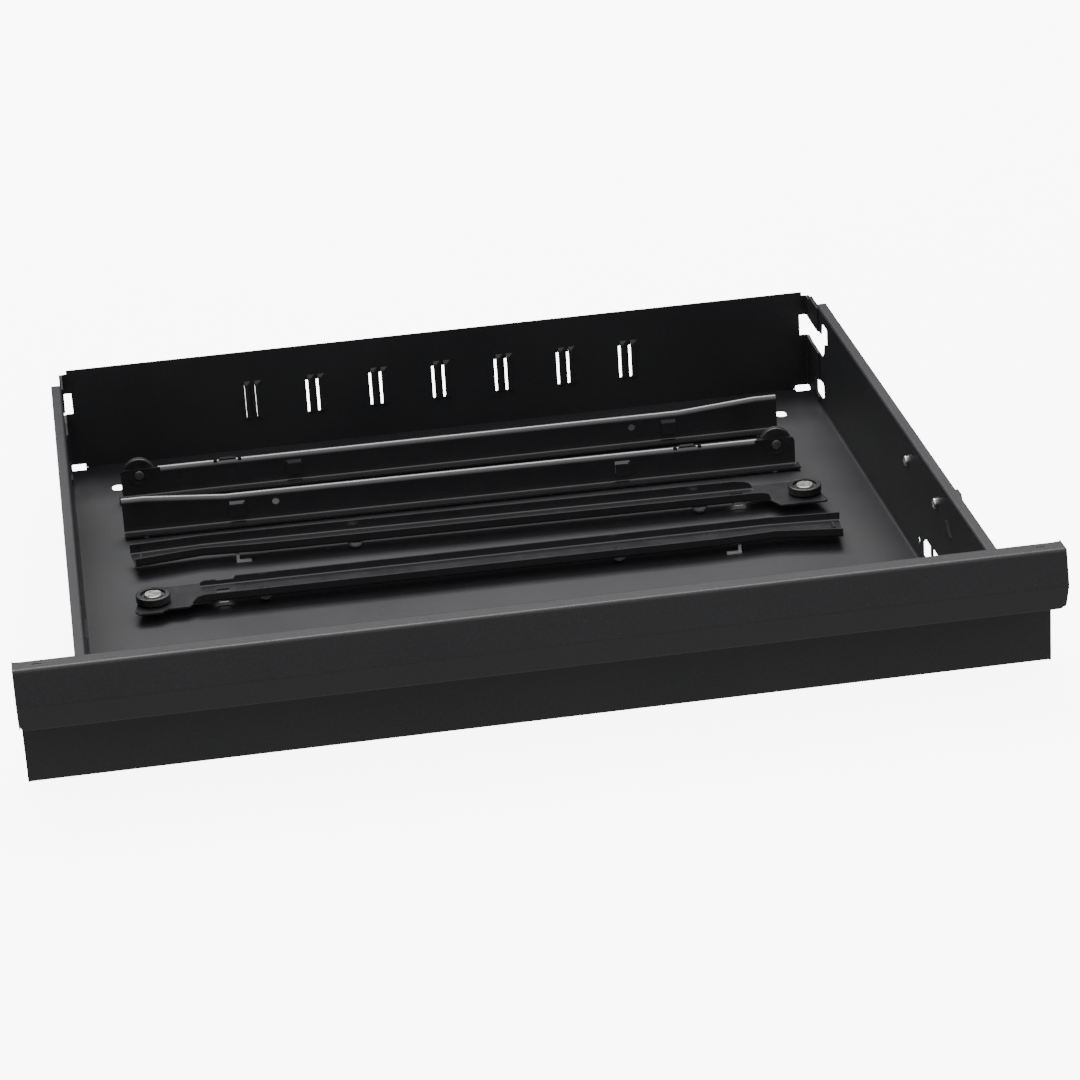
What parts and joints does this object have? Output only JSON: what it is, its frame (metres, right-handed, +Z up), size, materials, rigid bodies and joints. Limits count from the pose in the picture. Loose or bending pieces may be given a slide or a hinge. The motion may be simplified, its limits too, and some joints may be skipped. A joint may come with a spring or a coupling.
{
  "type": "cabinet drawer with loose roller slides",
  "caption": "Shallow sheet-steel cabinet drawer with a full-width grip front and its loose set of roller slides lying inside.",
  "frame": {"origin": "middle of the whole object's footprint, on the surface it stands on", "axes": "+X across the drawer to its right side as seen from the front, +Y to the back, +Z up"},
  "size_m": [0.607, 0.509, 0.085],
  "materials": {
    "powder_coat": "fine-textured satin black powder coat",
    "rail_enamel": "glossy black enamel on cold-formed steel",
    "grip_cap_plastic": "moulded black plastic",
    "catch_plastic": "moulded black plastic",
    "roller_tyre": "satin black acetal",
    "roller_hub": "satin black nylon",
    "rivet_steel": "bright zinc-plated steel",
    "rivet_painted": "steel rivet under black enamel",
    "screw_steel": "bright zinc-plated steel"
  },
  "bodies": {
    "drawer": {"drawer_tray": "powder_coat", "rear_panel": "powder_coat", "front_panel": "powder_coat", "left_grip_cap": "grip_cap_plastic", "right_grip_cap": "grip_cap_plastic", "catch_block": "catch_plastic", "catch_screws": "screw_steel"},
    "right_cabinet_rail": {"right_cabinet_rail": "rail_enamel", "right_cabinet_rail_roller_rivet": "rivet_painted"},
    "right_cabinet_rail_roller": {"right_cabinet_rail_roller_tyre": "roller_tyre", "right_cabinet_rail_roller_hub": "roller_hub"},
    "left_cabinet_rail": {"left_cabinet_rail": "rail_enamel", "left_cabinet_rail_roller_rivet": "rivet_painted"},
    "left_cabinet_rail_roller": {"left_cabinet_rail_roller_tyre": "roller_tyre", "left_cabinet_rail_roller_hub": "roller_hub"},
    "left_drawer_rail": {"left_drawer_rail": "rail_enamel", "left_drawer_rail_roller_rivet": "rivet_steel"},
    "left_drawer_rail_roller": {"left_drawer_rail_roller_tyre": "roller_tyre", "left_drawer_rail_roller_hub": "roller_hub"},
    "right_drawer_rail": {"right_drawer_rail": "rail_enamel", "right_drawer_rail_roller_rivet": "rivet_steel"},
    "right_drawer_rail_roller": {"right_drawer_rail_roller_tyre": "roller_tyre", "right_drawer_rail_roller_hub": "roller_hub"}
  },
  "joints": [
    {"name": "right_cabinet_rail_lift_out", "type": "slide", "parent": "drawer", "child": "right_cabinet_rail", "axis": [0, 0, 1], "range_m": [0, 0.12]},
    {"name": "right_cabinet_rail_roller_spin", "type": "hinge", "parent": "right_cabinet_rail", "child": "right_cabinet_rail_roller", "pos_m": [-0.21615, 0.18586, 0.0246], "axis": [0.011, 0.9999, 0], "continuous": true},
    {"name": "left_cabinet_rail_lift_out", "type": "slide", "parent": "drawer", "child": "left_cabinet_rail", "axis": [0, 0, 1], "range_m": [0, 0.12]},
    {"name": "left_cabinet_rail_roller_spin", "type": "hinge", "parent": "left_cabinet_rail", "child": "left_cabinet_rail_roller", "pos_m": [0.2071, 0.11367, 0.0246], "axis": [0.0215, 0.9998, 0], "continuous": true},
    {"name": "left_drawer_rail_lift_out", "type": "slide", "parent": "drawer", "child": "left_drawer_rail", "axis": [0, 0, 1], "range_m": [0, 0.12]},
    {"name": "left_drawer_rail_roller_spin", "type": "hinge", "parent": "left_drawer_rail", "child": "left_drawer_rail_roller", "pos_m": [0.21231, 0.04675, 0.0176], "axis": [0, 0, 1], "continuous": true},
    {"name": "right_drawer_rail_lift_out", "type": "slide", "parent": "drawer", "child": "right_drawer_rail", "axis": [0, 0, 1], "range_m": [0, 0.12]},
    {"name": "right_drawer_rail_roller_spin", "type": "hinge", "parent": "right_drawer_rail", "child": "right_drawer_rail_roller", "pos_m": [-0.218, -0.01098, 0.0176], "axis": [0, 0, 1], "continuous": true}
  ]
}
